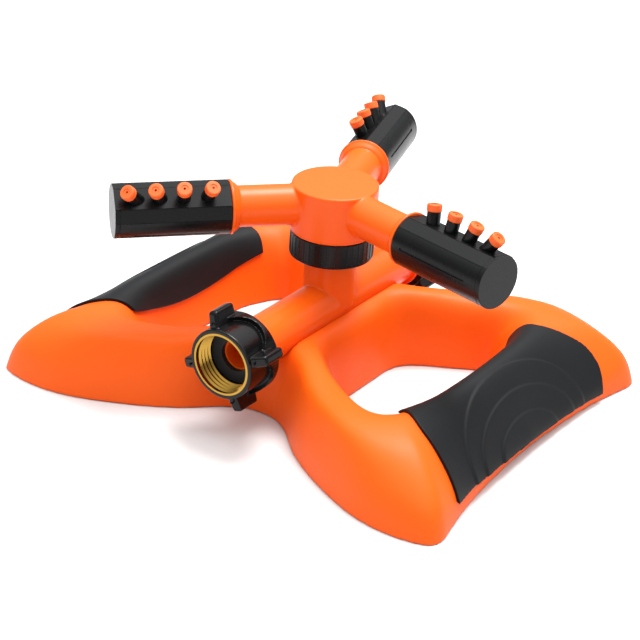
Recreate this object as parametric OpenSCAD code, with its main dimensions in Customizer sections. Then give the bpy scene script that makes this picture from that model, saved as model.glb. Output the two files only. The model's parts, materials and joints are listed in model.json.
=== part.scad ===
// Rotary lawn sprinkler: a hollow moulded base with two hand holes, a water pipe
// lying in its saddle, a swivel hose nut at the front, a capped outlet at the back
// and a three-armed rotor whose nozzle bars turn on their arms.
// Millimetres. The origin is on the ground under the rotor's axis, +Z is up and
// the hose comes in from -Y.

/* [Base] */
// Length of the base over its two handles, along X
base_len = 241; // [200:1:300]
// Width of the base over its four legs, along Y
base_wid = 195; // [160:1:240]
// Height of the base beside the pipe
saddle_h = 37; // [34:0.5:40]
// Height of the two handles and the four legs
crest_h = 33.5; // [28:0.5:37]
// How far the end edges curve in at the middle of a handle
end_dip = 10; // [6:1:22]
// Width of a handle at the ground
handle_w = 38; // [30:1:46]
// Half of the width left between the two hand holes
web_half = 22; // [18:1:28]
// Length of a hand hole across the base, along Y
hole_wid = 105; // [80:1:120]
// Wall of the hollow base
base_wall = 3; // [2:0.25:4]

/* [Grips] */
// Thickness of the soft grip over the handle
grip_t = 1.5; // [1:0.25:3]
// Stations of the base's outline that a grip covers each way from its middle
grip_stations = 3.4; // [2:0.1:4]

/* [Water pipe] */
// Height of the pipe's axis
pipe_z = 39.5; // [38:0.5:46]
// Outer radius of the pipe
pipe_r = 11.3; // [10.5:0.1:13]
// Radius of the waterway through the pipe
pipe_bore_r = 8.3; // [7:0.1:9]
// Front end of the pipe, measured from the rotor's axis
pipe_front = 64.4; // [60:0.2:80]
// Rear shoulder of the pipe, measured from the rotor's axis
pipe_rear = 60.5; // [56:0.5:80]
// Length of the threaded end behind the shoulder
outlet_len = 13.5; // [10:0.5:18]
// Outer radius of the riser that carries the rotor
riser_r = 12.1; // [11:0.1:14]
// Distance of each fixing boss from the rotor's axis
boss_pitch = 30; // [24:1:34]
// Radius of a fixing boss under the pipe
boss_r = 4.5; // [3.5:0.25:6]
// Radius of a fixing screw's shank
screw_r = 1.9; // [1.4:0.1:2.4]

/* [Hose nut] */
// Radius over the brass insert
insert_r = 14.75; // [14.25:0.05:15.5]
// Radius of the hose thread's wall
thread_r = 12.7; // [12.4:0.05:13.2]
// Length of the hose thread
thread_len = 10.2; // [8:0.2:14]
// Largest radius of the nut's body
nut_r = 18.7; // [18:0.1:21]
// Radius of the nut's front rim
nut_rim_r = 16.4; // [16:0.1:17.4]
// Radius over the nut's four wings
nut_wing_r = 23.6; // [22:0.2:27]
// Thickness of a wing
wing_t = 5.2; // [3:0.2:7]
// Turn of the first wing from +X
wing_turn = 20; // [0:1:89]

/* [Rotor] */
// Height of the axis of the three arms
arm_z = 89.6; // [88:0.2:110]
// Top of the rotor's hub
hub_top = 99.5; // [99:0.5:120]
// Radius of the hub
hub_r = 20.1; // [18.5:0.1:24]
// Height of the collar nut under the hub
collar_h = 12; // [11:0.5:16]
// Underside of the collar nut
collar_z = 64.6; // [63:0.2:70]
// Outer radius of the fixed spindle that the rotor turns on
spindle_r = 8; // [7:0.1:8.2]
// Waterway through the spindle
spindle_bore_r = 5.2; // [3:0.1:5.8]
// Outer radius of an arm
arm_r = 9.5; // [8.5:0.1:10.5]
// Waterway through an arm
arm_bore_r = 5; // [3:0.1:5.4]
// Where an arm's shoulder ends, measured from the rotor's axis
arm_len = 49.3; // [40:0.5:70]
// Radius of the shoulder that closes the nozzle bar
shoulder_r = 12.6; // [12:0.1:14]
// Directions of the three arms, counted from +X
arm_turn = 227.3; // [0:0.1:360]

/* [Nozzle bars] */
// Outer radius of a nozzle bar
bar_r = 12.4; // [11.5:0.1:13.5]
// Length of a nozzle bar with its end cap
bar_len = 52.7; // [50:0.5:70]
// Distance of the nozzle flat from the bar's axis
bar_flat = 11.2; // [10.8:0.1:12]
// Thickness of the end cap's plate
bar_cap_t = 2.2; // [1.5:0.1:4]
// Distance between neighbouring nozzles
nozzle_pitch = 10.7; // [8.5:0.1:11]
// Outer radius of a nozzle stub
stub_r = 3.1; // [2.5:0.1:3.6]
// Height of a stub above the flat
stub_h = 5.6; // [4:0.2:8]
// Radius of a nozzle tip
tip_r = 3.4; // [2.6:0.1:3.8]
// Height of a nozzle tip
tip_h = 3.4; // [2:0.2:5]

/* [Fits] */
// Radial clearance of a turning fit
run_fit = 0.05; // [0.02:0.01:0.1]
// Gap between faces that pass each other
face_gap = 0.2; // [0.1:0.05:0.4]

/* [Hidden] */
$fn = 96;
EPS = 0.01;
ORANGE = [0.98, 0.40, 0.12];
BLACK = [0.11, 0.115, 0.12];
RUBBER = [0.06, 0.06, 0.06];
BRASS = [0.85, 0.66, 0.30];
STEEL = [0.62, 0.63, 0.65];

// ---- the base's shape ----------------------------------------------------
// The base is one quarter mirrored twice. Each station of the quarter joins a
// point of the hand hole's edge to a point of the outer edge, and carries an arch
// between them. Both edges are given as shares of the hole and of the base.
half_len = base_len / 2;
half_wid = base_wid / 2;
hole_end = half_len - end_dip - handle_w;
end_mid = (half_len - end_dip) / half_len;
hole_edge = [
    [1, 0], [0.985, 0.36], [0.95, 0.63], [0.87, 0.82], [0.81, 0.935], [0.77, 0.975],
    [0.74, 0.995], [0.71, 1], [0.67, 0.985], [0.58, 0.94], [0.44, 0.855], [0.28, 0.77],
    [0.135, 0.675], [0.04, 0.57], [0, 0.42], [0, 0.23], [0, 0]
];
outer_edge = [
    [end_mid, 0], [mix(end_mid, 1, 0.05), 0.2], [mix(end_mid, 1, 0.22), 0.43],
    [mix(end_mid, 1, 0.48), 0.64], [mix(end_mid, 1, 0.84), 0.81], [0.998, 0.905], [0.96, 0.97],
    [0.83, 1], [0.68, 0.982], [0.525, 0.91], [0.38, 0.816], [0.255, 0.709],
    [0.148, 0.58], [0.06, 0.515], [0, 0.494], [0, 0.28], [0, 0]
];
// Arch shapes, from the hole's edge (0) to the outer edge (1), as shares of width and height
handle_arch = [
    [0, 0], [0.14, 0.5], [0.24, 0.87], [0.37, 1], [0.52, 0.93],
    [0.68, 0.73], [0.85, 0.45], [1.01, 0.17], [1, 0]
];
corner_arch = [
    [0, 0], [0.05, 0.5], [0.14, 0.82], [0.27, 1], [0.44, 0.99],
    [0.62, 0.89], [0.79, 0.68], [0.94, 0.37], [1, 0]
];
leg_arch = [
    [0, 0], [0.07, 0.5], [0.16, 0.82], [0.31, 0.98], [0.52, 1],
    [0.72, 0.96], [0.83, 0.82], [0.95, 0.4], [1, 0]
];
web_arch = [
    [0, 0], [0.04, 0.5], [0.13, 0.85], [0.29, 0.97], [0.5, 1],
    [0.65, 1], [0.8, 1], [1, 1], [1, 0]
];
// Which arch and how high at each station: [first, second, share of the second, height]
station_arch = [
    [handle_arch, handle_arch, 0, crest_h], [handle_arch, handle_arch, 0, crest_h],
    [handle_arch, corner_arch, 0.1, crest_h], [handle_arch, corner_arch, 0.35, crest_h],
    [handle_arch, corner_arch, 0.7, crest_h], [corner_arch, corner_arch, 0, crest_h],
    [corner_arch, corner_arch, 0, crest_h], [corner_arch, leg_arch, 0.3, crest_h],
    [corner_arch, leg_arch, 0.7, crest_h], [leg_arch, leg_arch, 0, crest_h],
    [leg_arch, leg_arch, 0, crest_h], [leg_arch, leg_arch, 0, mix(crest_h, saddle_h, 0.3)],
    [leg_arch, web_arch, 0.15, mix(crest_h, saddle_h, 0.7)], [leg_arch, web_arch, 0.3, saddle_h],
    [leg_arch, web_arch, 0.4, saddle_h], [web_arch, web_arch, 0, saddle_h],
    [web_arch, web_arch, 0, saddle_h]
];
last_station = len(hole_edge) - 1;
// Points added between two stations, and between two points of an arch
ROUND_STEPS = 3;
ARCH_STEPS = 2;
// Each half of the base runs this far past the middle, so that the halves join
half_overlap = 1;

function mix(a, b, t) = a + (b - a) * t;
function curve(a, b, c, d, t) =
    b + (c - a) * t / 2 + (2 * a - 5 * b + 4 * c - d) * t * t / 2
    + (3 * b - a - 3 * c + d) * t * t * t / 2;
function held(list, i) = list[min(max(i, 0), len(list) - 1)];
function turned(list, i) = list[(i + len(list)) % len(list)];

// One arch in space: grow > 0 fattens it, grow < 0 gives the inside of a wall
function arch(i, grow) =
    let (a = [mix(web_half, hole_end, hole_edge[i].x), hole_wid / 2 * hole_edge[i].y])
    let (b = [outer_edge[i].x > 0 ? half_len * outer_edge[i].x : -half_overlap, half_wid * outer_edge[i].y])
    let (along = (b - a) / norm(b - a))
    let (kind = station_arch[i])
    let (shape = mix(kind[0], kind[1], kind[2]))
    let (foot = grow < 0 ? -grow : 0)
    [for (p = shape)
        let (flat = mix(a - along * grow, b + along * grow, p.x))
        [flat.x, flat.y, foot + p.y * (kind[3] + grow - foot)]];
function flipped(ring) = [for (p = ring) [p.x, -p.y, p.z]];
// All the arches once round a hand hole, starting at the middle of the handle
function loop(grow) = concat(
    [for (i = [0 : last_station]) arch(i, grow)],
    [for (i = [last_station - 1 : -1 : 1]) flipped(arch(i, grow))]);
function smooth_loop(list, n) = [
    for (i = [0 : len(list) - 1]) for (k = [0 : n - 1])
        curve(turned(list, i - 1), list[i], turned(list, i + 1), turned(list, i + 2), k / n)];
function smooth_arch(list, n) = [
    for (i = [0 : len(list) - 2]) for (k = [0 : n - 1])
        curve(held(list, i - 1), list[i], held(list, i + 1), held(list, i + 2), k / n),
    list[len(list) - 1]];

// Two triangles for the quad a-b-c-d, whose corners run clockwise as seen from outside
function quad(a, b, c, d) = [[a, b, c], [a, c, d]];

// Half of the base as one ring-shaped solid
module half_base(grow, round_steps, arch_steps) {
    rings = [for (r = smooth_loop(loop(grow), round_steps)) smooth_arch(r, arch_steps)];
    count = len(rings);
    size = len(rings[0]);
    points = [for (r = rings) for (p = r) p];
    faces = [for (i = [0 : count - 1]) for (k = [0 : size - 1])
        let (here = i * size, next = (i + 1) % count * size, k2 = (k + 1) % size)
        each quad(here + k, next + k, next + k2, here + k2)];
    polyhedron(points, faces);
}
module both_halves() {
    children();
    mirror([1, 0, 0]) children();
}

module along_y(from, to, r) {
    translate([0, from, 0]) rotate([-90, 0, 0]) cylinder(h = to - from, r = r);
}
module at_bosses() {
    for (side = [-1, 1]) translate([0, side * boss_pitch, 0]) children();
}

// ---- fixing of the pipe to the base --------------------------------------
boss_floor_z = 19;
floor_t = 3;
screw_head_r = 3.8;
screw_head_h = 2.6;
well_r = 5;
boss_fit = 0.3;
boss_wall = 3;
screw_reach = 9;
cross_len = 4;
cross_w = 1;
cross_d = 1.2;
screw_head_z = boss_floor_z - floor_t - screw_head_h;

module base_shell() {
    color(ORANGE) difference() {
        both_halves() half_base(0, ROUND_STEPS, ARCH_STEPS);
        both_halves() difference() {
            half_base(-base_wall, 1, 1);
            translate([0, 0, pipe_z]) along_y(-half_wid, half_wid, pipe_r + base_wall);
            translate([-half_overlap - web_half, -half_wid, 0])
                cube([half_overlap + web_half + boss_r + boss_wall, base_wid, saddle_h]);
        }
        translate([0, 0, pipe_z]) along_y(-half_wid, half_wid, pipe_r);
        at_bosses() translate([0, 0, boss_floor_z]) cylinder(h = saddle_h, r = boss_r + boss_fit);
        at_bosses() translate([0, 0, -1]) cylinder(h = boss_floor_z - floor_t + 1, r = well_r);
        at_bosses() translate([0, 0, -1]) cylinder(h = boss_floor_z + 2, r = screw_r + boss_fit);
    }
}

// ---- grips ---------------------------------------------------------------
// A grip follows the handle's own arches, from half way up the hand hole's wall
// over the crest and down to just above the ground.
grip_from = 1;
grip_to = 7;

module grip_solid() {
    skin = [for (r = smooth_loop(loop(grip_t), ROUND_STEPS)) smooth_arch(r, ARCH_STEPS)];
    bed = [for (r = smooth_loop(loop(0), ROUND_STEPS)) smooth_arch(r, ARCH_STEPS)];
    reach = round(grip_stations * ROUND_STEPS);
    low = grip_from * ARCH_STEPS;
    wide = (grip_to - grip_from) * ARCH_STEPS;
    ring_size = 2 * (wide + 1);
    points = [for (i = [-reach : reach]) each concat(
        [for (k = [0 : wide]) turned(skin, i)[low + k]],
        [for (k = [0 : wide]) turned(bed, i)[low + k]])];
    under = wide + 1;
    last = 2 * reach * ring_size;
    faces = [
        for (i = [0 : 2 * reach - 1]) let (here = i * ring_size, next = here + ring_size) each concat(
            [for (k = [0 : wide - 1]) each quad(here + k, next + k, next + k + 1, here + k + 1)],
            [for (k = [under : under + wide - 1]) each quad(here + k, here + k + 1, next + k + 1, next + k)],
            quad(here + wide, next + wide, next + under + wide, here + under + wide),
            quad(here, here + under, next + under, next)),
        for (k = [0 : wide - 1]) each concat(
            quad(k, k + 1, under + k + 1, under + k),
            quad(last + k, last + under + k, last + under + k + 1, last + k + 1))
    ];
    polyhedron(points, faces);
}
module grip_right() {
    color(BLACK) grip_solid();
}
module grip_left() {
    color(BLACK) mirror([1, 0, 0]) grip_solid();
}

// ---- water pipe ----------------------------------------------------------
riser_gap = 0.7;
riser_top = collar_z - riser_gap;
socket_step = 0.8;
socket_depth = 14;
socket_z = riser_top - socket_depth;
flange_t = 2.5;
rear_flange_r = pipe_r + 1.9;
outlet_r = pipe_r + 1.1;

module pipe_tee() {
    color(ORANGE) difference() {
        union() {
            translate([0, 0, pipe_z]) {
                along_y(-pipe_front, pipe_rear, pipe_r);
                along_y(pipe_rear - flange_t, pipe_rear, rear_flange_r);
                along_y(pipe_rear - EPS, pipe_rear + outlet_len, outlet_r);
            }
            translate([0, 0, pipe_z]) cylinder(h = riser_top - pipe_z, r = riser_r);
            at_bosses() translate([0, 0, boss_floor_z])
                cylinder(h = pipe_z - boss_floor_z - pipe_bore_r, r = boss_r);
        }
        translate([0, 0, pipe_z]) along_y(-pipe_front - 1, pipe_rear + outlet_len + 1, pipe_bore_r);
        translate([0, 0, socket_z]) cylinder(h = socket_depth + 1, r = spindle_r);
        translate([0, 0, pipe_z]) cylinder(h = riser_top - pipe_z, r = spindle_r - socket_step);
        at_bosses() translate([0, 0, boss_floor_z - 1]) cylinder(h = screw_reach + 1, r = screw_r);
    }
}
module mounting_screws() {
    color(STEEL) at_bosses() {
        translate([0, 0, screw_head_z]) difference() {
            cylinder(h = screw_head_h, r = screw_head_r);
            for (turn = [0, 90]) rotate([0, 0, turn])
                translate([-cross_len / 2, -cross_w / 2, -1]) cube([cross_len, cross_w, 1 + cross_d]);
        }
        translate([0, 0, screw_head_z + EPS])
            cylinder(h = screw_head_h + floor_t + screw_reach - 1, r = screw_r);
    }
}

// ---- hose nut ------------------------------------------------------------
nut_gap = 0.6;
nut_back = pipe_front + nut_gap;
nut_wall = 3.5;
neck_flange_t = 1.9;
hose_washer_t = 2.4;
seat_slack = 0.2;
seat_r = thread_r + seat_slack;
shoulder_y = nut_back + nut_wall;
flange_back = shoulder_y + face_gap / 2;
flange_front = flange_back + neck_flange_t;
washer_front = flange_front + hose_washer_t;
insert_back = washer_front + face_gap;
nut_front = insert_back + thread_len;
scoop_r = 11.5;
scoop_rear = 4.5;
neck_bore_r = 6.4;
neck_depth = 14;
neck_slack = 0.1;
washer_step = 0.8;
scoop_land = 3;
wing_front_step = 1.2;
wing_back_step = 2.5;

module on_pipe() {
    translate([0, 0, pipe_z]) children();
}
module inlet_tailpiece() {
    color(ORANGE) on_pipe() difference() {
        union() {
            along_y(-flange_front, -flange_back, thread_r - neck_slack);
            along_y(-flange_back - EPS, -pipe_front + neck_depth, pipe_bore_r);
        }
        along_y(-flange_front - 1, -pipe_front + neck_depth + 1, neck_bore_r);
    }
}
// Four wings round a body, from one place along -Y to another
module wings(from, to, root_r, end_r) {
    for (turn = [0 : 90 : 270]) rotate([0, -wing_turn - turn, 0])
        translate([root_r, from, -wing_t / 2]) cube([end_r - root_r, to - from, wing_t]);
}
module hose_nut() {
    color(BLACK) on_pipe() difference() {
        union() {
            difference() {
                along_y(-nut_front, -nut_back, nut_r);
                for (turn = [45 : 90 : 315]) rotate([0, -wing_turn - turn, 0]) intersection() {
                    translate([nut_rim_r, -nut_front + scoop_r - scoop_rear, 0])
                        rotate([0, 90, 0]) cylinder(h = nut_r, r = scoop_r + scoop_rear / 2);
                    difference() {
                        along_y(-nut_front - 1, -nut_back - scoop_land, nut_r + 1);
                        along_y(-nut_front - 2, -nut_back, nut_rim_r);
                    }
                }
            }
            wings(-nut_front + wing_front_step, -nut_back - wing_back_step, nut_rim_r - 1, nut_wing_r);
        }
        along_y(-nut_front - 1, -insert_back, insert_r);
        along_y(-nut_front, -shoulder_y, seat_r);
        along_y(-nut_front, -nut_back + 1, pipe_bore_r + run_fit);
    }
}
module brass_insert() {
    color(BRASS) on_pipe() difference() {
        along_y(-nut_front, -insert_back, insert_r);
        along_y(-nut_front - 1, -insert_back + 1, thread_r);
    }
}
module hose_washer() {
    color(RUBBER) on_pipe() difference() {
        along_y(-washer_front, -flange_front, thread_r);
        along_y(-washer_front - 1, -flange_front + 1, neck_bore_r + washer_step);
    }
}

// ---- rear cap ------------------------------------------------------------
cap_wall = 2;
cap_gap = 0.5;
cap_front = pipe_rear + cap_gap;
rear_washer_t = 1.7;
cap_inside = pipe_rear + outlet_len + rear_washer_t + face_gap;
cap_back = cap_inside + cap_wall;
cap_shell_t = 3.4;
cap_r = outlet_r + cap_shell_t;
cap_wing_h = 4.6;
cap_wing_step = 1.5;
cap_wing_turn = 45;
rear_washer_slack = 0.2;

module rear_cap() {
    color(BLACK) on_pipe() difference() {
        union() {
            along_y(cap_front, cap_back, cap_r);
            rotate([0, wing_turn - cap_wing_turn, 0])
                wings(cap_front + cap_wing_step, cap_back - cap_wing_step, cap_r - 1, cap_r + cap_wing_h);
        }
        along_y(cap_front - 1, cap_inside, outlet_r + 2 * run_fit);
    }
}
module rear_washer() {
    color(RUBBER) on_pipe() along_y(cap_inside - rear_washer_t, cap_inside, outlet_r - rear_washer_slack);
}

// ---- rotor ---------------------------------------------------------------
lip_t = 2.4;
thrust_t = 1.4;
spindle_flange_t = 3;
spindle_flange_r = spindle_r + 4.6;
flange_slack = 0.4;
skirt_in_r = spindle_flange_r + flange_slack;
skirt_wall = 3.4;
skirt_out_r = skirt_in_r + skirt_wall;
collar_top = collar_z + collar_h;
flange_z = collar_z + lip_t + thrust_t + face_gap / 2;
top_slack = 0.5;
skirt_ceiling = flange_z + spindle_flange_t + top_slack;
spindle_top = collar_top + 2.9;
seal_z = collar_top - 0.6;
seal_r = 1.25;
seal_slack = 0.1;
seal_groove_r = spindle_r + 2 * seal_r + seal_slack;
seal_groove_h = 2 * seal_r + 0.4;
hub_wall = 6;
hub_roof = 3;
chamber_r = hub_r - hub_wall;
chamber_top = hub_top - hub_roof;
chamber_z = spindle_top + top_slack;
collar_step = 0.5;
rib_margin = 0.8;
thrust_slack = 0.2;
thrust_bore_slack = 0.3;
collar_ribs = 40;
rib_r = 0.9;
rib_out = 0.2;
spigot_r = 7.5;
spigot_len = 13.7;
bead_x = arm_len + 10.2;
bead_w = 1.5;
bead_h = 0.45;
ring_at = 4.5;
ring_w = 2.4;
ring_r = 0.75;
arm_shoulder_t = 3.3;
ring_slack = 0.02;

module turn_z(z, h, r) {
    translate([0, 0, z]) cylinder(h = h, r = r);
}
module rotor_spindle() {
    color(STEEL) difference() {
        union() {
            turn_z(socket_z, spindle_top - socket_z, spindle_r);
            turn_z(flange_z, spindle_flange_t, spindle_flange_r);
        }
        turn_z(socket_z - 1, spindle_top - socket_z + 2, spindle_bore_r);
    }
}
module collar_nut() {
    color(BLACK) difference() {
        union() {
            turn_z(collar_z, collar_h, hub_r - collar_step);
            for (i = [0 : collar_ribs - 1]) rotate([0, 0, i * 360 / collar_ribs])
                translate([hub_r - rib_out - rib_r, 0, collar_z + rib_margin])
                    cylinder(h = collar_h - 2 * rib_margin, r = rib_r, $fn = 24);
        }
        turn_z(collar_z - 1, collar_h, spindle_r + run_fit);
        turn_z(collar_z + lip_t, collar_h, skirt_out_r + run_fit);
    }
}
module thrust_washer() {
    color(STEEL) difference() {
        turn_z(collar_z + lip_t, thrust_t, spindle_flange_r - thrust_slack);
        turn_z(collar_z, collar_h, spindle_r + thrust_bore_slack);
    }
}
module rotor_seal() {
    color(RUBBER) translate([0, 0, seal_z]) rotate_extrude()
        translate([spindle_r + seal_slack + seal_r, 0]) circle(r = seal_r, $fn = 32);
}
// Local frame of an arm: its axis along +X at the arms' height
module on_arm(k) {
    translate([0, 0, arm_z]) rotate([0, 0, arm_turn + 120 * k]) children();
}
module along_x(from, to, r) {
    translate([from, 0, 0]) rotate([0, 90, 0]) cylinder(h = to - from, r = r);
}
module rotor_hub() {
    color(ORANGE) difference() {
        union() {
            turn_z(collar_top, hub_top - collar_top, hub_r);
            turn_z(collar_z + lip_t + face_gap, collar_h, skirt_out_r);
            for (k = [0 : 2]) on_arm(k) {
                along_x(0, arm_len, arm_r);
                along_x(arm_len - arm_shoulder_t, arm_len, shoulder_r);
                along_x(arm_len - EPS, arm_len + spigot_len, spigot_r);
                along_x(bead_x, bead_x + bead_w, spigot_r + bead_h);
            }
        }
        turn_z(collar_z, skirt_ceiling - collar_z, skirt_in_r);
        turn_z(collar_z, chamber_z + 1 - collar_z, spindle_r + run_fit);
        turn_z(seal_z - seal_groove_h / 2, seal_groove_h, seal_groove_r);
        turn_z(chamber_z, chamber_top - chamber_z, chamber_r);
        for (k = [0 : 2]) on_arm(k) {
            along_x(0, arm_len + spigot_len + 1, arm_bore_r);
            difference() {
                along_x(arm_len + ring_at, arm_len + ring_at + ring_w, spigot_r + 1);
                along_x(arm_len, arm_len + spigot_len, spigot_r - 2 * ring_r);
            }
        }
    }
}
module arm_seal(k) {
    color(RUBBER) on_arm(k) translate([arm_len + ring_at + ring_w / 2, 0, 0]) rotate([0, 90, 0])
        rotate_extrude() translate([spigot_r - ring_r, 0]) circle(r = ring_r - ring_slack, $fn = 24);
}
module arm_seal_1() { arm_seal(0); }
module arm_seal_2() { arm_seal(1); }
module arm_seal_3() { arm_seal(2); }

// ---- nozzle bars ---------------------------------------------------------
// How far each bar is turned on its arm at rest, so that its jets push the rotor round
bar_turn = [40, 10, 25];
bar_start = arm_len + face_gap;
bar_end = arm_len + bar_len;
plug_r = 9;
plug_len = 6;
first_nozzle = 10.8;
lean_first = -9;
lean_step = 14.5;
side_flat_turn = 40;
side_flat = 12;
groove_turn = 96;
groove_w = 1.2;
groove_d = 0.5;
groove_from = 5;
groove_to = 9;
bead_slack = 0.2;
bore_step = 1;
stub_root = 3;
stem_r = 1.6;
stem_len = 4;
jet_r = 0.6;

module on_bar(k) {
    on_arm(k) rotate([-bar_turn[k], 0, 0]) children();
}
// The round bar with its nozzle flat on top and a flat on each side of it
module bar_body(from, to) {
    difference() {
        along_x(from, to, bar_r);
        for (f = [[0, bar_flat], [side_flat_turn, side_flat], [-side_flat_turn, side_flat]])
            rotate([f[0], 0, 0]) translate([from - 1, -bar_r, f[1]]) cube([to - from + 2, 2 * bar_r, bar_r]);
    }
}
module at_nozzles() {
    for (i = [0 : 3]) translate([arm_len + first_nozzle + nozzle_pitch * i, 0, bar_flat])
        rotate([0, lean_first + lean_step * i, 0]) children();
}
module nozzle_bar(k) {
    color(BLACK) on_bar(k) difference() {
        union() {
            bar_body(bar_start, bar_end - bar_cap_t);
            at_nozzles() turn_z(-stub_root, stub_root + stub_h, stub_r);
        }
        along_x(bar_start - 1, bar_end, spigot_r + run_fit);
        along_x(bead_x - bead_slack, bead_x + bead_w + bead_slack, spigot_r + bead_h + bead_slack);
        along_x(arm_len + spigot_len + bore_step, bar_end, plug_r);
        at_nozzles() turn_z(-stub_root - 1, stub_root + stub_h + 2, stem_r);
        for (side = [-1, 1]) rotate([side * groove_turn, 0, 0])
            translate([bar_start + groove_from, -groove_w / 2, bar_r - groove_d])
                cube([bar_len - groove_from - groove_to, groove_w, 2 * groove_d]);
    }
}
module bar_cap(k) {
    color(BLACK) on_bar(k) {
        bar_body(bar_end - bar_cap_t, bar_end);
        along_x(bar_end - bar_cap_t - plug_len, bar_end - EPS, plug_r);
    }
}
module nozzle_tips(k) {
    color(ORANGE) on_bar(k) at_nozzles() difference() {
        union() {
            turn_z(stub_h, tip_h, tip_r);
            turn_z(stub_h - stem_len, stem_len + EPS, stem_r);
        }
        turn_z(stub_h - stem_len - 1, stem_len + tip_h + 2, jet_r);
    }
}
module nozzle_bar_1() { nozzle_bar(0); }
module nozzle_bar_2() { nozzle_bar(1); }
module nozzle_bar_3() { nozzle_bar(2); }
module bar_cap_1() { bar_cap(0); }
module bar_cap_2() { bar_cap(1); }
module bar_cap_3() { bar_cap(2); }
module nozzle_tips_1() { nozzle_tips(0); }
module nozzle_tips_2() { nozzle_tips(1); }
module nozzle_tips_3() { nozzle_tips(2); }

// ---- the parts -----------------------------------------------------------
base_shell();
grip_left();
grip_right();
pipe_tee();
mounting_screws();
inlet_tailpiece();
rotor_spindle();
hose_nut();
brass_insert();
hose_washer();
rear_cap();
rear_washer();
rotor_hub();
collar_nut();
thrust_washer();
rotor_seal();
arm_seal_1();
arm_seal_2();
arm_seal_3();
nozzle_bar_1();
nozzle_bar_2();
nozzle_bar_3();
bar_cap_1();
bar_cap_2();
bar_cap_3();
nozzle_tips_1();
nozzle_tips_2();
nozzle_tips_3();
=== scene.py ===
# %% [markdown]
# # A rotary lawn sprinkler
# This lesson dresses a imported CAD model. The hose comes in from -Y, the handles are
# at +X and -X, and the rotor spins on +Z.

# %% Load the frame
import json
import math

import bpy
from mathutils import Matrix, Vector


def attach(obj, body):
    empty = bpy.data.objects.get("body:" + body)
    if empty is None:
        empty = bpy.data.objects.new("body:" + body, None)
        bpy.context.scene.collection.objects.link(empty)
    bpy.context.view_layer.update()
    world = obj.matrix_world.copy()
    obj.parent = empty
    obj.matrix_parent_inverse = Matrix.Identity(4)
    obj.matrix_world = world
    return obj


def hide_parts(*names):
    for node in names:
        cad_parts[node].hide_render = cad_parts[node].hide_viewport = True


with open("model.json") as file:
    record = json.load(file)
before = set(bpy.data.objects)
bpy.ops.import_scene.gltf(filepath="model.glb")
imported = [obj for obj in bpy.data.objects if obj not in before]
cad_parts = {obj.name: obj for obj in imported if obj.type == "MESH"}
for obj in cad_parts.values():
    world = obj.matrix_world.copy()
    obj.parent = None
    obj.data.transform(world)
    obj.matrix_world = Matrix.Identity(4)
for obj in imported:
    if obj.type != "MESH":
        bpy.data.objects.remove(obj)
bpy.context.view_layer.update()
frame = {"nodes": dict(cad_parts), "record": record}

MM = 0.001
NODES = frame["nodes"]
JOINTS = {joint["name"]: joint for joint in frame["record"]["behaviour"]["joints"]}
print("loaded", len(NODES), "CAD nodes")

# %% [markdown]
# ## Camera
# A long lens from the front right, a little above, with a slight roll. The three
# directions of the camera are worked out from its yaw, pitch and roll, and are the
# columns of its matrix.

# %% Camera
CAMERA_PLACE = Vector((445.83, -695.71, 452.6)) * MM
CAMERA_YAW = math.radians(-32.865)
CAMERA_PITCH = math.radians(-27.152)
CAMERA_ROLL = math.radians(3.717)
ahead = Vector((
    math.sin(CAMERA_YAW) * math.cos(CAMERA_PITCH),
    math.cos(CAMERA_YAW) * math.cos(CAMERA_PITCH),
    math.sin(CAMERA_PITCH)))
level_right = Vector((math.cos(CAMERA_YAW), -math.sin(CAMERA_YAW), 0))
level_up = level_right.cross(ahead)
right = level_right * math.cos(CAMERA_ROLL) + level_up * math.sin(CAMERA_ROLL)
up = level_up * math.cos(CAMERA_ROLL) - level_right * math.sin(CAMERA_ROLL)
camera_data = bpy.data.cameras.new("camera")
camera_data.lens = 110.8
camera_data.sensor_width = 36
camera_data.clip_start = 0.05
camera = bpy.data.objects.new("camera", camera_data)
bpy.context.scene.collection.objects.link(camera)
camera_turn = Matrix((right, up, -ahead)).transposed().to_4x4()
camera.matrix_world = Matrix.Translation(CAMERA_PLACE) @ camera_turn
bpy.context.scene.camera = camera
print("camera at", [round(v, 3) for v in CAMERA_PLACE], "lens", camera_data.lens, "mm")

# %% [markdown]
# ## Helpers
# An operator acts on all that is selected, and loading leaves every node selected.
# So each step first picks the one object that it works on.

# %% Picking, editing and modifiers
def pick(obj):
    if bpy.context.mode != "OBJECT":
        bpy.ops.object.mode_set(mode="OBJECT")
    bpy.ops.object.select_all(action="DESELECT")
    obj.select_set(True)
    bpy.context.view_layer.objects.active = obj
    return obj


def edit(obj, mode="VERT", action="SELECT"):
    pick(obj)
    bpy.ops.object.mode_set(mode="EDIT")
    bpy.ops.mesh.select_mode(type=mode)
    bpy.ops.mesh.select_all(action=action)


def leave_edit():
    bpy.ops.object.mode_set(mode="OBJECT")


def face_outwards():
    bpy.ops.mesh.select_all(action="SELECT")
    bpy.ops.mesh.normals_make_consistent(inside=False)


def finish_with(obj, kind, **settings):
    pick(obj)
    modifier = obj.modifiers.new(kind.lower(), kind)
    for key, value in settings.items():
        setattr(modifier, key, value)
    bpy.ops.object.modifier_apply(modifier=modifier.name)
    return obj


# %% [markdown]
# Most of the pieces are turned shapes, so one helper adds a cylinder between two
# points in mm and rounds its two rims. Its place is applied at once, so that every
# finished object sits at the origin with its place in its mesh.

# %% Drums, copies, joins and booleans
SHARP_RIM = math.radians(60)


def settle(obj, name):
    obj.name = name
    pick(obj)
    bpy.ops.object.transform_apply(location=True, rotation=True, scale=True)
    return obj


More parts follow.
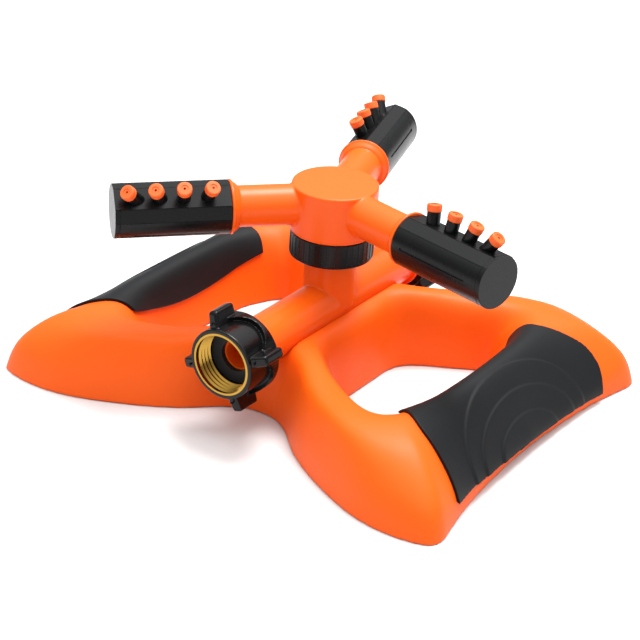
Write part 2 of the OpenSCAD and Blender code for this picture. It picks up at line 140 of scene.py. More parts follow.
def drum(name, start, end, radius, rim=0.0, sides=192, end_radius=None):
    start, end = Vector(start), Vector(end)
    along = end - start
    bpy.ops.object.select_all(action="DESELECT")
    bpy.ops.mesh.primitive_cone_add(
        vertices=sides, radius1=radius * MM, radius2=(end_radius or radius) * MM,
        depth=along.length * MM, location=(start + end) / 2 * MM,
        rotation=along.to_track_quat("Z", "Y").to_euler())
    obj = settle(bpy.context.object, name)
    if rim:
        edit(obj, "EDGE", "DESELECT")
        bpy.ops.mesh.edges_select_sharp(sharpness=SHARP_RIM)
        bpy.ops.mesh.bevel(offset=rim * MM, segments=3, affect="EDGES")
        leave_edit()
    return obj


def copy_of(obj, name, place=Matrix()):
    twin = bpy.data.objects.new(name, obj.data.copy())
    bpy.context.scene.collection.objects.link(twin)
    twin.matrix_world = place
    return settle(twin, name)


def joined(name, pieces):
    pick(pieces[0])
    for piece in pieces:
        piece.select_set(True)
    bpy.ops.object.join()
    pieces[0].name = name
    return pieces[0]


def combine(obj, operation, *tools):
    for tool in tools:
        finish_with(obj, "BOOLEAN", operation=operation, object=tool, solver="EXACT")
        bpy.data.objects.remove(tool)
    return obj


# %% [markdown]
# A moulding has no sharp edge or inside corner. Overlapping shapes are joined, rebuilt
# as one even skin of small quads and smoothed a little, which also puts a fillet where
# two of them meet. The size of the quads sets the radius. Crisp edges that are cut
# afterwards are kept, and the big faces keep their own normals.

# %% Moulded skins, crisp edges, and standing in for a node
def moulded(obj, quad_mm, passes):
    pick(obj)
    obj.data.remesh_voxel_size = quad_mm * MM
    obj.data.remesh_voxel_adaptivity = 0
    bpy.ops.object.voxel_remesh()
    return finish_with(obj, "SMOOTH", factor=0.5, iterations=passes)


def crisp(obj, angle=35):
    pick(obj)
    bpy.ops.object.shade_smooth_by_angle(angle=math.radians(angle))
    return finish_with(obj, "WEIGHTED_NORMAL", keep_sharp=True)


def stand_for(obj, node, body, material):
    obj.data.materials.clear()
    obj.data.materials.append(material)
    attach(obj, body)
    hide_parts(node)
    size = [round(d / MM, 1) for d in obj.dimensions]
    print(f"{obj.name}: {len(obj.data.polygons)} faces, size in mm {size}")
    return obj


# %% [markdown]
# ## Finishes
# Colours are written as sRGB hex values and turned to linear by one function. One
# more small function adds a node with its settings and its links.

# %% Colour and node helpers
def linear(hex_colour):
    channels = [int(hex_colour[i:i + 2], 16) / 255 for i in (1, 3, 5)]
    return [c / 12.92 if c <= 0.04045 else ((c + 0.055) / 1.055) ** 2.4 for c in channels] + [1]


def add(tree, kind, links=None, **settings):
    node = tree.nodes.new(kind)
    for key, value in settings.items():
        if key.startswith("in_"):
            node.inputs[key[3:].replace("_", " ")].default_value = value
        else:
            setattr(node, key, value)
    for socket, source in (links or {}).items():
        tree.links.new(source, node.inputs[socket])
    return node


def new_material(name):
    material = bpy.data.materials.new(name)
    material.use_nodes = True
    tree = material.node_tree
    tree.nodes.clear()
    return material, tree


# %% [markdown]
# A moulded plastic shows three things up close: a colour that drifts very slightly
# where the melt flowed, a gloss that varies by patches, and a fine grain from the
# spark-eroded tool. The grain of a real tool is about 0.1 mm, too fine to show, so
# it is drawn near 0.7 mm and kept shallow. The specular level is low, because these
# plastics look deep in colour rather than glassy.

# %% Moulded plastics
FLOW_MM = 60
PATCH_MM = 9


def moulded_plastic(name, deep, pale, roughness, spread, grain_mm, depth_mm, ior=1.5, specular=0.5):
    material, tree = new_material(name)
    place = add(tree, "ShaderNodeTexCoord").outputs["Object"]
    flow = add(tree, "ShaderNodeTexNoise", {"Vector": place}, in_Scale=1 / (FLOW_MM * MM), in_Detail=3.0)
    colour = add(tree, "ShaderNodeMix", {"Factor": flow.outputs["Fac"]}, data_type="RGBA")
    colour.inputs["A"].default_value = linear(deep)
    colour.inputs["B"].default_value = linear(pale)
    patches = add(tree, "ShaderNodeTexNoise", {"Vector": place}, in_Scale=1 / (PATCH_MM * MM), in_Detail=4.0)
    gloss = add(tree, "ShaderNodeMapRange", {"Value": patches.outputs["Fac"]},
                in_To_Min=roughness - spread, in_To_Max=roughness + spread)
    grain = add(tree, "ShaderNodeTexNoise", {"Vector": place}, in_Scale=1 / (grain_mm * MM), in_Detail=2.0)
    bump = add(tree, "ShaderNodeBump", {"Height": grain.outputs["Fac"]}, in_Strength=0.5,
               in_Distance=depth_mm * MM)
    shader = add(tree, "ShaderNodeBsdfPrincipled", {
        "Base Color": colour.outputs["Result"], "Roughness": gloss.outputs["Result"],
        "Normal": bump.outputs["Normal"]}, in_IOR=ior)
    shader.inputs["Specular IOR Level"].default_value = specular
    add(tree, "ShaderNodeOutputMaterial", {"Surface": shader.outputs["BSDF"]})
    return material


ORANGE_HDPE = moulded_plastic(
    "orange_blow_moulded_hdpe", "#EC570A", "#EF5D10", 0.46, 0.05, 0.9, 0.035, specular=0.18)
ORANGE_ABS = moulded_plastic(
    "orange_injection_moulded_abs", "#EC570A", "#EF5E11", 0.33, 0.05, 0.7, 0.015, specular=0.26)
ORANGE_TIP = moulded_plastic(
    "orange_moulded_elastomer", "#EE5A18", "#F26626", 0.5, 0.08, 0.7, 0.06, specular=0.4)
BLACK_ABS = moulded_plastic(
    "black_injection_moulded_abs", "#090A0B", "#0F1011", 0.28, 0.06, 0.6, 0.015, specular=0.2)
BLACK_NYLON = moulded_plastic(
    "black_glass_filled_nylon", "#080809", "#0C0C0D", 0.2, 0.06, 0.6, 0.015, specular=0.25)
TPR = moulded_plastic(
    "black_thermoplastic_rubber", "#131415", "#18191B", 0.5, 0.05, 0.6, 0.05, specular=0.14)
NITRILE = moulded_plastic(
    "black_nitrile_rubber", "#0D0D0E", "#151516", 0.7, 0.06, 0.5, 0.04, ior=1.52)
ACETAL = moulded_plastic(
    "white_acetal", "#D8D8D2", "#E4E4DF", 0.35, 0.05, 0.6, 0.02, ior=1.48)
PLASTICS = (ORANGE_HDPE, ORANGE_ABS, ORANGE_TIP, BLACK_ABS, BLACK_NYLON, TPR, NITRILE, ACETAL)
print("plastics:", [material.name for material in PLASTICS])

# %% [markdown]
# Brass and steel are turned: the tool leaves fine rings round the axis of the cut.
# The rings are bands along the turning axis, 0.4 mm apart so that they show. A band
# texture repeats once in 2 pi / 20 of its unit, which its scale has to make up for.

# %% Turned metals
WAVE_UNIT = 2 * math.pi / 20
RING_MM = 0.4
TARNISH_MM = 4


def turned_metal(name, colour, roughness, axis, ring_depth_mm):
    material, tree = new_material(name)
    place = add(tree, "ShaderNodeTexCoord").outputs["Object"]
    rings = add(tree, "ShaderNodeTexWave", {"Vector": place}, wave_type="BANDS", bands_direction=axis,
                in_Scale=WAVE_UNIT / (RING_MM * MM), in_Distortion=0.4)
    bump = add(tree, "ShaderNodeBump", {"Height": rings.outputs["Fac"]}, in_Strength=0.35,
               in_Distance=ring_depth_mm * MM)
    tarnish = add(tree, "ShaderNodeTexNoise", {"Vector": place},
                  in_Scale=1 / (TARNISH_MM * MM), in_Detail=4.0)
    gloss = add(tree, "ShaderNodeMapRange", {"Value": tarnish.outputs["Fac"]},
                in_To_Min=roughness - 0.06, in_To_Max=roughness + 0.08)
    shader = add(tree, "ShaderNodeBsdfPrincipled", {
        "Roughness": gloss.outputs["Result"], "Normal": bump.outputs["Normal"]}, in_Metallic=1.0)
    shader.inputs["Base Color"].default_value = linear(colour)
    add(tree, "ShaderNodeOutputMaterial", {"Surface": shader.outputs["BSDF"]})
    return material


BRASS = turned_metal("turned_brass", "#B08A3E", 0.2, "Y", 0.01)
STEEL = turned_metal("stainless_steel", "#B9BBBE", 0.3, "Z", 0.02)
print("metals:", BRASS.name, STEEL.name)

# %% [markdown]
# ## The base
# The real base is one hollow blow moulding: air presses a soft tube of plastic into
# the mould, so every edge is round and there is no seam on show. The CAD base has
# the right form in flat facets. Its copy is merged, its inner wall is dropped, it is
# turned back to quads, its hard edges are creased, and a subdivision surface makes
# the facets flow into each other.

# %% Base skin
CREASE_FROM = math.radians(48)
base = bpy.data.objects.new("base_skin", NODES["base_shell"].data.copy())
bpy.context.scene.collection.objects.link(base)
edit(base)
bpy.ops.mesh.remove_doubles(threshold=0.005 * MM)
bpy.ops.mesh.separate(type="LOOSE")
leave_edit()
shells = sorted(bpy.context.selected_objects, key=lambda shell: max(shell.dimensions), reverse=True)
base = shells[0]
for inner in shells[1:]:
    bpy.data.objects.remove(inner)
edit(base)
bpy.ops.mesh.tris_convert_to_quads(face_threshold=math.radians(30), shape_threshold=math.radians(50))
bpy.ops.mesh.select_mode(type="EDGE")
bpy.ops.mesh.select_all(action="DESELECT")
bpy.ops.mesh.edges_select_sharp(sharpness=CREASE_FROM)
bpy.ops.transform.edge_crease(value=1)
leave_edit()
finish_with(base, "SUBSURF", levels=2, render_levels=2)
moulded(base, 1.2, 6)
crisp(settle(base, "base_skin"))
stand_for(base, "base_shell", "base", ORANGE_HDPE)

# %% [markdown]
# ## The soft grips
# Thermoplastic rubber is moulded over each handle, 1.5 mm thick, with three terraces
# that step up towards the outer edge like contour lines. The grip has to lie on the
# base, so it starts as a copy of that stretch of the base's skin. The copy is pushed
# out along its normals, a little further on each terrace, and is then cut to the
# grip's outline. The left grip is the mirror of the right one.

# %% A stretch of the handle, pushed out in terraces
GRIP_T = 1.5
TERRACE_H = 0.65
TERRACE_CENTRE = (114, -1)
TERRACES = [(24.5, 50), (16.5, 41), (10, 27)]
RAMP = 0.6
LIFT_MAX = GRIP_T + TERRACE_H * len(TERRACES)
STRETCH = (((66, 0, 0), (-1, 0, 0)), ((0, -75, 0), (0, -1, 0)), ((0, 75, 0), (0, 1, 0)))


def lift(x, y):
    height = GRIP_T
    for reach_x, reach_y in TERRACES:
        off = math.hypot((x - TERRACE_CENTRE[0]) / reach_x, (y - TERRACE_CENTRE[1]) / reach_y)
        inside_mm = (1 - off) * reach_x
        fade = 1 - 0.5 * max(0, y) / reach_y
        height += TERRACE_H * fade * min(1, max(0, inside_mm / RAMP))
    return height


grip = copy_of(base, "grip_right_moulded")
for place, outwards in STRETCH:
    edit(grip)
    bpy.ops.mesh.bisect(plane_co=Vector(place) * MM, plane_no=outwards, use_fill=True, clear_outer=True)
    leave_edit()
moulded(grip, 0.6, 3)
group = grip.vertex_groups.new(name="lift")
for vertex in grip.data.vertices:
    group.add([vertex.index], lift(vertex.co.x / MM, vertex.co.y / MM) / LIFT_MAX, "REPLACE")
finish_with(grip, "DISPLACE", strength=LIFT_MAX * MM, mid_level=0, vertex_group="lift")
print("handle stretch:", len(grip.data.vertices), "vertices")

# %% [markdown]
# The outline is a ring of points with rounded corners, drawn up into a prism. The
# grip ends higher on the hole's side than on the outside, so a second cutter has a
# curved floor: a grid whose points are set by their place, drawn upwards.

# %% Two cutters for the grip's outline
OUTLINE = [
    (66, -48), (80, -56), (91, -62.5), (101, -65), (110, -66.5), (118, -69.5), (126, -70), (126, 63),
    (116.5, 63), (113, 67.5), (104, 66), (94, 58.5), (84, 51.5), (76, 51.5), (66, 44)]
CORNER_R = 3.5
CUTTER_H = 60
HOLE_SIDE_X = 76
HANDLE_W = 36


def draw_up():
    bpy.ops.mesh.extrude_region_move(TRANSFORM_OT_translate={"value": (0, 0, CUTTER_H * MM)})
    face_outwards()
    leave_edit()


def grip_floor(x, y):
    hole_side = 17.7 + (10.5 if y < 0 else 7.3) * (y / 50) ** 2
    outside = 6.2 - 0.028 * y
    share = min(1, max(0, (x - HOLE_SIDE_X) / HANDLE_W))
    return hole_side + (outside - hole_side) * share


bpy.ops.object.select_all(action="DESELECT")
bpy.ops.mesh.primitive_circle_add(vertices=len(OUTLINE), fill_type="NGON")
prism = bpy.context.object
for vertex, (x, y) in zip(prism.data.vertices, OUTLINE):
    vertex.co = (x * MM, y * MM, -5 * MM)
edit(prism)
bpy.ops.mesh.bevel(offset=CORNER_R * MM, segments=4, affect="VERTICES")
bpy.ops.mesh.select_all(action="SELECT")
draw_up()

bpy.ops.object.select_all(action="DESELECT")
bpy.ops.mesh.primitive_grid_add(x_subdivisions=14, y_subdivisions=36, size=1)
floor_cutter = bpy.context.object
for vertex in floor_cutter.data.vertices:
    x, y = 96 + vertex.co.x * 70, vertex.co.y * 160
    vertex.co = (x * MM, y * MM, grip_floor(x, y) * MM)
edit(floor_cutter)
draw_up()
print("outline cutter:", len(prism.data.vertices), "vertices")

# %% [markdown]
# The grip keeps what lies in both cutters. One more light remesh rounds the new rim,
# as the mould does. The mirrored copy is inside out, so its normals are turned.

# %% Cut the grips
combine(grip, "INTERSECT", prism, floor_cutter)
moulded(grip, 0.5, 2)
crisp(grip)
left_grip = copy_of(grip, "grip_left_moulded", Matrix.Scale(-1, 4, (1, 0, 0)))
edit(left_grip)
face_outwards()
leave_edit()
stand_for(grip, "grip_right", "base", TPR)
stand_for(left_grip, "grip_left", "base", TPR)

# %% [markdown]
# ## The water pipe
# One injection moulding: the pipe, the riser under the rotor, the rear outlet with
# its flange, and two bosses that the screws pull down on to the base. The outside is
# remeshed as one skin, which fillets the joins, and the waterways are cut after it so
# that their rims stay crisp.

# %% Water pipe
PIPE_Z = 39.5
PIPE_R = 11.3
PIPE_FRONT = -64.4
FLANGE_FRONT = 58
FLANGE_BACK = 60.5
OUTLET_BACK = 74
RISER_TOP = 63.9
BOSSES = (-15, 15)
pipe = joined("pipe_moulded", [
    drum("tube", (0, PIPE_FRONT, PIPE_Z), (0, FLANGE_BACK, PIPE_Z), PIPE_R),
    drum("rear_flange", (0, FLANGE_FRONT, PIPE_Z), (0, FLANGE_BACK, PIPE_Z), 13.2, 0.4),
    drum("outlet", (0, 60, PIPE_Z), (0, OUTLET_BACK, PIPE_Z), 12.4, 0.4),
    drum("riser", (0, 0, PIPE_Z), (0, 0, RISER_TOP), 12.1, 0.4),
    *[drum("boss", (0, y, 19), (0, y, 31.2), 4.5, 0.3) for y in BOSSES]])
moulded(pipe, 0.5, 4)
combine(pipe, "DIFFERENCE",
        drum("bore", (0, -66, PIPE_Z), (0, 76, PIPE_Z), 8.3),
        drum("waterway", (0, 0, PIPE_Z), (0, 0, 66), 7.2),
        drum("socket", (0, 0, 49.9), (0, 0, 66), 8.0),
        *[drum("screw_hole", (0, y, 17), (0, y, 28), 1.9, sides=48) for y in BOSSES])
crisp(pipe)
stand_for(pipe, "pipe_tee", "base", ORANGE_ABS)

# %% [markdown]
# ## The rotor's hub
# A closed cup with three arms. Each arm ends in a stepped shoulder that the bar turns
# against, and in a spigot that the bar snaps on to. One arm is modelled along +X and
# copied to the three directions of the bars' joints.

# %% One arm and its place
ARM_Z = 89.6
ARM_END = 49.3
ARM_PLACES = []
for k in (1, 2, 3):
    axis = JOINTS[f"bar_{k}_turn"]["axis"]
    towards_bar = Matrix.Rotation(math.atan2(axis[1], axis[0]), 4, "Z")
    ARM_PLACES.append(Matrix.Translation((0, 0, ARM_Z * MM)) @ towards_bar)

arm = joined("arm", [
    drum("arm_tube", (0, 0, 0), (ARM_END, 0, 0), 9.5),
    drum("arm_flare", (45.4, 0, 0), (48.2, 0, 0), 10.3, end_radius=12.2),
    drum("arm_shoulder", (47.9, 0, 0), (ARM_END, 0, 0), 12.6, 0.3),
    drum("spigot", (49, 0, 0), (63, 0, 0), 7.5, 0.3),
    drum("snap_bead", (59.5, 0, 0), (61, 0, 0), 7.95, 0.3)])
groove = combine(drum("ring_groove", (53.8, 0, 0), (56.2, 0, 0), 9), "DIFFERENCE",
                 drum("groove_core", (53, 0, 0), (57, 0, 0), 6.0))
arm_bore = drum("arm_bore", (0, 0, 0), (64, 0, 0), 5.0)

# %% [markdown]
# The cup, its skirt and the three arms become one skin, so a fillet runs round each
# arm. The rooms for the spindle and the water, and the seal grooves, are cut after.

# %% Hub
HUB_R = 20.1
HUB_FOOT = 76.6
HUB_TOP = 99.5
SKIRT_R = 16.4
hub = joined("hub_moulded", [
    drum("cup", (0, 0, HUB_FOOT), (0, 0, HUB_TOP), HUB_R, 1.0, 256),
    drum("skirt", (0, 0, 67.2), (0, 0, 78), SKIRT_R, 0.3),
    *[copy_of(arm, "arm_copy", place) for place in ARM_PLACES]])
moulded(hub, 0.5, 5)
combine(hub, "DIFFERENCE",
        drum("flange_room", (0, 0, 64), (0, 0, 72.1), 13.0),
        drum("spindle_bore", (0, 0, 64), (0, 0, 81), 8.05),
        drum("chamber", (0, 0, 80), (0, 0, 96.5), 14.1),
        *[copy_of(tool, "tool_copy", place) for place in ARM_PLACES for tool in (arm_bore, groove)])
for tool in (arm, arm_bore, groove):
    bpy.data.objects.remove(tool)
crisp(hub)
stand_for(hub, "rotor_hub", "rotor", ORANGE_ABS)

# %% [markdown]
# ## The collar nut
# It screws on to the hub's skirt and holds the rotor down. Forty low ribs give the
# fingers a hold: strips of the wall are selected by their angle and drawn outwards.
# Of each four strips, three make a rib and one stays as the gap.

# %% Collar nut
RIBS = 40
STRIPS_PER_RIB = 4
COLLAR_R = 19.6
COLLAR_FOOT = 64.6
RIB_FOOT = 66.0
RIB_TOP = 75.6
RIB_H = 0.22
STRIP_ANGLE = 2 * math.pi / (RIBS * STRIPS_PER_RIB)
collar = drum("collar_moulded", (0, 0, COLLAR_FOOT), (0, 0, HUB_FOOT), COLLAR_R, 0.7, RIBS * STRIPS_PER_RIB)
for height in (RIB_FOOT, RIB_TOP):
    edit(collar)
    bpy.ops.mesh.bisect(plane_co=(0, 0, height * MM), plane_no=(0, 0, 1))
    leave_edit()
edit(collar, "FACE", "DESELECT")
leave_edit()
for face in collar.data.polygons:
    middle = face.center / MM
    strip = math.floor(math.atan2(middle.y, middle.x) / STRIP_ANGLE) % STRIPS_PER_RIB
    on_wall = math.hypot(middle.x, middle.y) > COLLAR_R - 0.6
    face.select = on_wall and RIB_FOOT < middle.z < RIB_TOP and strip != 0
bpy.ops.object.mode_set(mode="EDIT")
bpy.ops.mesh.extrude_region_shrink_fatten(TRANSFORM_OT_shrink_fatten={"value": -RIB_H * MM})
leave_edit()
finish_with(collar, "BEVEL", width=0.12 * MM, segments=2, limit_method="ANGLE", angle_limit=math.radians(40))
combine(collar, "DIFFERENCE",
        drum("collar_bore", (0, 0, 64), (0, 0, 78), 8.05),
        drum("collar_thread", (0, 0, 67), (0, 0, 78), 16.45))
crisp(collar)
stand_for(collar, "collar_nut", "rotor", BLACK_ABS)

# %% [markdown]
# ## Wings for the nut and the cap
# Both are turned by hand, so both have four wings. A wing is a block with a slanted
# front and round edges, modelled once and turned about the pipe's axis.

# %% Wings
ON_PIPE = Matrix.Translation((0, 0, PIPE_Z * MM))
WINGS = 4
QUARTER = 360 / WINGS
WING_T = 5.2
NUT_WINGS = 20
CAP_WINGS = 45


def about_pipe(turn):
    return ON_PIPE @ Matrix.Rotation(math.radians(-turn), 4, "Y")


def wings(first_turn, root_r, end_r, front, back, slant):
    bpy.ops.object.select_all(action="DESELECT")
    bpy.ops.mesh.primitive_cube_add(size=1)
    wing = bpy.context.object
    wing.scale = Vector((end_r - root_r, back - front, WING_T)) * MM
    wing.location = Vector(((end_r + root_r) / 2, (front + back) / 2, 0)) * MM
    settle(wing, "wing")
    for vertex in wing.data.vertices:
        if vertex.co.x > (end_r - 0.1) * MM:
            vertex.co.y += slant * MM if vertex.co.y < (front + 0.1) * MM else 0
            vertex.co.z *= 0.9
    edit(wing, "EDGE")
    bpy.ops.mesh.bevel(offset=1.2 * MM, segments=3, affect="EDGES")
    leave_edit()
    copies = [copy_of(wing, "wing_copy", about_pipe(first_turn + QUARTER * i)) for i in range(WINGS)]
    bpy.data.objects.remove(wing)
    return copies


# %% [markdown]
# ## The hose nut
# It is moulded in stiff black nylon, and turns on the tailpiece to draw the hose on to
# its washer. Its barrel has a thicker band round it, scooped away between the wings,
# which leaves an arch between each pair of them and saves plastic. The scoops are cut
# from the band alone, before the plain barrel is joined to it.

# %% Hose nut
NUT_FRONT = -83.3
NUT_BACK = -65.0
INSERT_BACK = -73.1
INSERT_R = 14.75
band = drum("thick_band", (0, NUT_FRONT, PIPE_Z), (0, NUT_BACK, PIPE_Z), 18.7, 0.6)
scoop = drum("scoop", (10, -80.5, 0), (24, -80.5, 0), 12.8, sides=96)
between = [about_pipe(NUT_WINGS + 45 + QUARTER * i) for i in range(WINGS)]
combine(band, "DIFFERENCE", *[copy_of(scoop, "scoop_copy", place) for place in between])
bpy.data.objects.remove(scoop)
nut = joined("nut_moulded", [
    drum("barrel", (0, NUT_FRONT, PIPE_Z), (0, NUT_BACK, PIPE_Z), 16.4, 0.6, 256),
    band, *wings(NUT_WINGS, 15.4, 23.6, -82.1, -67.5, 1.8)])
moulded(nut, 0.32, 3)
combine(nut, "DIFFERENCE",
        drum("insert_room", (0, -85, PIPE_Z), (0, INSERT_BACK, PIPE_Z), INSERT_R, sides=256),
        drum("seat_room", (0, -85, PIPE_Z), (0, -68.5, PIPE_Z), 12.9),
        drum("neck_hole", (0, -85, PIPE_Z), (0, -64, PIPE_Z), 8.35))
crisp(nut)
stand_for(nut, "hose_nut", "hose_nut", BLACK_NYLON)

# %% [markdown]
# ## The rear cap
# It closes the outlet that a second sprinkler would be fed from. It follows the nut's
# pattern, a little smaller: a plain drum with four straight wings and a room inside.

# %% Rear cap
cap = joined("cap_moulded", [
    drum("cap_drum", (0, 61, PIPE_Z), (0, 77.9, PIPE_Z), 15.8, 0.8, 256),
    *wings(CAP_WINGS, 14.8, 20.4, 62.5, 76.4, 0.0)])
moulded(cap, 0.4, 3)
combine(cap, "DIFFERENCE", drum("cap_room", (0, 60, PIPE_Z), (0, 75.9, PIPE_Z), 12.5))
crisp(cap)
stand_for(cap, "rear_cap", "rear_cap", BLACK_NYLON)

# %% [markdown]
# ## The brass thread
# A garden-hose thread has 11.5 turns to the inch, so its pitch is 2.2 mm. The ridge
# is a small diamond swept in a helix with the Screw modifier, sunk into a plain ring.

# %% Brass insert
PITCH = 25.4 / 11.5
TURNS = 4
RIDGE_R = 13.65
ROOT_R = 13.6
bpy.ops.object.select_all(action="DESELECT")
bpy.ops.mesh.primitive_circle_add(vertices=4, radius=MM, fill_type="NOTHING")
ridge = bpy.context.object
edit(ridge)
bpy.ops.transform.resize(value=(1, 0.72, 1))
bpy.ops.transform.translate(value=(RIDGE_R * MM, 0, 0))
leave_edit()
finish_with(ridge, "SCREW", axis="Y", screw_offset=PITCH * MM, iterations=TURNS, steps=96, render_steps=96)
edit(ridge)
bpy.ops.mesh.remove_doubles(threshold=0.001 * MM)
bpy.ops.mesh.fill_holes(sides=0)
face_outwards()
leave_edit()
low = min(vertex.co.y for vertex in ridge.data.vertices)
ridge.location = (0, (NUT_FRONT + 0.9) * MM - low, PIPE_Z * MM)
settle(ridge, "thread_ridge")
thread = drum("brass_threaded", (0, NUT_FRONT, PIPE_Z), (0, INSERT_BACK, PIPE_Z), INSERT_R, 0.25, 256)
combine(thread, "DIFFERENCE", drum("thread_root", (0, -85, PIPE_Z), (0, -72, PIPE_Z), ROOT_R, sides=256))
combine(thread, "UNION", ridge)
crisp(thread)
stand_for(thread, "brass_insert", "hose_nut", BRASS)

# %% [markdown]
# ## The nozzle bars
# A bar is a round tube with a flat for the nozzles and a narrower one on each side of
# it, four leaning stubs, and a plug with the same outline. One bar is modelled along
# +X with its nozzles up, and later copied to each arm. A flat is a cut by a plane, and
# the stubs stand on the nozzles' flat, each leaning a little further out.

# %% Shapes that the bar and its plug share
BAR_R = 12.4
BAR_START = 49.5
BAR_END = 99.8
NOZZLE_FLAT = 11.2
SIDE_FLAT = 12.0
FLATS = ((0, NOZZLE_FLAT), (40, SIDE_FLAT), (-40, SIDE_FLAT))
NOZZLES = [(60.1 + 10.7 * i, math.radians(-9 + 14.5 * i)) for i in range(4)]


def flatted_bar(name, start, end, edge):
    bar = drum(name, (start, 0, 0), (end, 0, 0), BAR_R, edge)
    for turn, height in FLATS:
        outwards = Vector((0, -math.sin(math.radians(turn)), math.cos(math.radians(turn))))
        edit(bar)
        bpy.ops.mesh.bisect(
            plane_co=outwards * height * MM, plane_no=outwards, use_fill=True, clear_outer=True)
        leave_edit()
    return bar


def leaning(lean):
    return Vector((math.sin(lean), 0, math.cos(lean)))


def on_nozzle(x, lean, start, end, radius, rim=0.0):
    root = Vector((x, 0, NOZZLE_FLAT))
    return drum("nozzle_drum", root + leaning(lean) * start, root + leaning(lean) * end, radius, rim, 64)


# %% [markdown]
# The stubs are joined to the tube before it is hollowed. A thin groove runs along each
# side, and inside are the bore that snaps on to the spigot and the room for the water.

# %% One bar and its end plug
STUB_H = 5.6
GROOVE_SIZE = Vector((38.7, 1.2, 1.0)) * MM
GROOVE_MIDDLE = Vector((73.85, 0, BAR_R)) * MM
ROOM_R = 9.0
bar = flatted_bar("bar", BAR_START, BAR_END, 0.25)
combine(bar, "UNION", *[on_nozzle(x, lean, -3, STUB_H, 3.1, 0.2) for x, lean in NOZZLES])
grooves = []
for side in (-96, 96):
    bpy.ops.object.select_all(action="DESELECT")
    bpy.ops.mesh.primitive_cube_add(size=1)
    cutter = bpy.context.object
    about_bar = Matrix.Rotation(math.radians(side), 4, "X")
    cutter.matrix_world = about_bar @ Matrix.Translation(GROOVE_MIDDLE) @ Matrix.Diagonal((*GROOVE_SIZE, 1))
    grooves.append(settle(cutter, "groove_cutter"))
combine(bar, "DIFFERENCE", *grooves,
        drum("snap_bore", (49, 0, 0), (64, 0, 0), 7.55),
        drum("bead_room", (59.3, 0, 0), (61.2, 0, 0), 8.15),
        drum("bar_room", (63.5, 0, 0), (100.5, 0, 0), ROOM_R))
crisp(bar, 12)
plug = flatted_bar("plug", BAR_END, 102.0, 0.3)
combine(plug, "UNION", drum("plug_stem", (93.8, 0, 0), (101, 0, 0), ROOM_R))
crisp(plug, 12)
print("bar:", len(bar.data.polygons), "faces; plug:", len(plug.data.polygons), "faces")

# %% [markdown]
# A tip is a soft button with a shallow dish and a jet hole of 1.2 mm in its middle.
# It is pressed on to its stub, so a row of four is made over the four stubs.

# %% Nozzle tips
JET_R = 0.6
tips = []
for x, lean in NOZZLES:
    tip = on_nozzle(x, lean, STUB_H, 9.0, 3.4, 0.55)
    combine(tip, "DIFFERENCE", on_nozzle(x, lean, 8.7, 10, 1.7), on_nozzle(x, lean, 4, 10, JET_R))
    tips.append(tip)
tip_row = crisp(joined("tip_row", tips))
print("tips:", len(tip_row.data.polygons), "faces")

# %% [markdown]
# All three bars come out of one mould, and each stands on its arm at a turn of its
# own, so the bar, the plug and the row of tips are copied three times.

# %% Copy to the three arms
BAR_TURN = (40, 10, 25)
for k, (place, turn) in enumerate(zip(ARM_PLACES, BAR_TURN), 1):
    place = place @ Matrix.Rotation(math.radians(-turn), 4, "X")
    for template, node, slot, material in (
            (bar, f"nozzle_bar_{k}", "bar", BLACK_ABS),
            (plug, f"bar_cap_{k}", "bar", BLACK_ABS),
            (tip_row, f"nozzle_tips_{k}", "tip", ORANGE_TIP)):
        stand_for(copy_of(template, f"{node}_moulded", place), node, f"bar_{k}", material)
for template in (bar, plug, tip_row):
    bpy.data.objects.remove(template)

# %% [markdown]
# ## The nodes that stay as CAD
# Their shape is right as it is, so they only need their finish.

# %% Finishes on the kept CAD nodes
KEPT = {
    "mounting_screws": STEEL, "inlet_tailpiece": ORANGE_ABS, "rotor_spindle": ACETAL, "hose_washer": NITRILE,
    "rear_washer": NITRILE, "thrust_washer": ACETAL, "rotor_seal": NITRILE, "arm_seal_1": NITRILE,
    "arm_seal_2": NITRILE, "arm_seal_3": NITRILE,
}
for node, material in KEPT.items():
    node_object = NODES[node]
    node_object.data.materials.clear()
    node_object.data.materials.append(material)
    pick(node_object)
    bpy.ops.object.shade_smooth_by_angle(angle=math.radians(40))
print("finished", len(KEPT), "kept nodes")

# %% [markdown]
# ## Studio
# A pale floor, and one large soft light overhead. The surround is brightest at the
# top and falls off towards the level, as under a big diffuser.

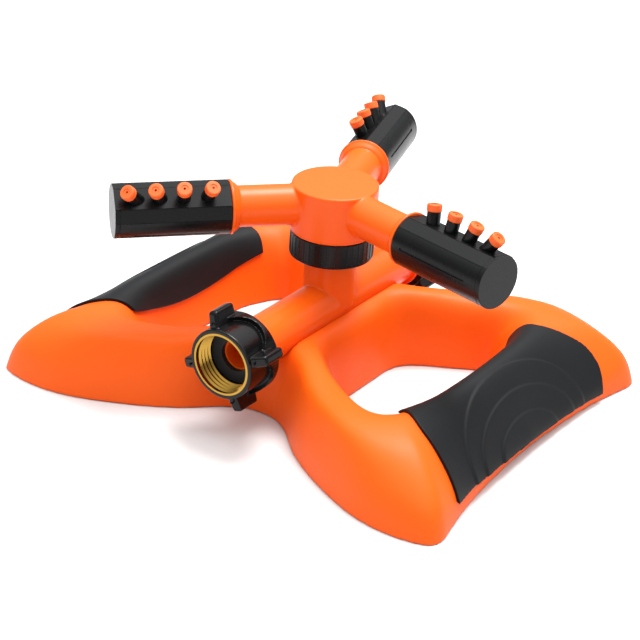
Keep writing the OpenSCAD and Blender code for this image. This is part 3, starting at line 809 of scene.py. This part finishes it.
# %% Floor
FLOOR_Z = -0.2
bpy.ops.object.select_all(action="DESELECT")
bpy.ops.mesh.primitive_plane_add(size=6, location=(0, 0, FLOOR_Z * MM))
floor = bpy.context.object
floor.name = "studio_floor"
floor_material, tree = new_material("pale_floor")
shader = add(tree, "ShaderNodeBsdfPrincipled", in_Roughness=0.9)
shader.inputs["Base Color"].default_value = linear("#D4D4D4")
shader.inputs["Specular IOR Level"].default_value = 0.1
add(tree, "ShaderNodeOutputMaterial", {"Surface": shader.outputs["BSDF"]})
floor.data.materials.append(floor_material)

# %% [markdown]
# The surround's strength follows the square of how far up a direction points. The key
# light is a square panel over the back of the object, aimed at its middle.

# %% Surround and key light
LEVEL_STRENGTH = 0.25
ZENITH_STRENGTH = 3.0
KEY_PLACE = Vector((0, 0.35, 1.2))
KEY_AIM = Vector((0, 0, 0.04))
world = bpy.data.worlds.new("studio")
bpy.context.scene.world = world
world.use_nodes = True
tree = world.node_tree
tree.nodes.clear()
around = add(tree, "ShaderNodeTexCoord").outputs["Generated"]
direction = add(tree, "ShaderNodeSeparateXYZ", {"Vector": around})
climb = add(tree, "ShaderNodeMath", {0: direction.outputs["Z"]}, operation="POWER", use_clamp=True)
climb.inputs[1].default_value = 2.0
glow = add(tree, "ShaderNodeMapRange", {"Value": climb.outputs["Value"]},
           in_To_Min=LEVEL_STRENGTH, in_To_Max=ZENITH_STRENGTH)
surround = add(tree, "ShaderNodeBackground", {"Strength": glow.outputs["Result"]})
surround.inputs["Color"].default_value = (1, 1, 1, 1)
add(tree, "ShaderNodeOutputWorld", {"Surface": surround.outputs["Background"]})

key_data = bpy.data.lights.new("key", "AREA")
key_data.size = 0.5
key_data.energy = 18
key = bpy.data.objects.new("key", key_data)
bpy.context.scene.collection.objects.link(key)
key.location = KEY_PLACE
key.rotation_euler = (KEY_AIM - KEY_PLACE).to_track_quat("-Z", "Y").to_euler()
bpy.context.scene.view_settings.view_transform = "Standard"
print("key light", round(KEY_PLACE.z, 2), "m up,", key_data.energy, "W")
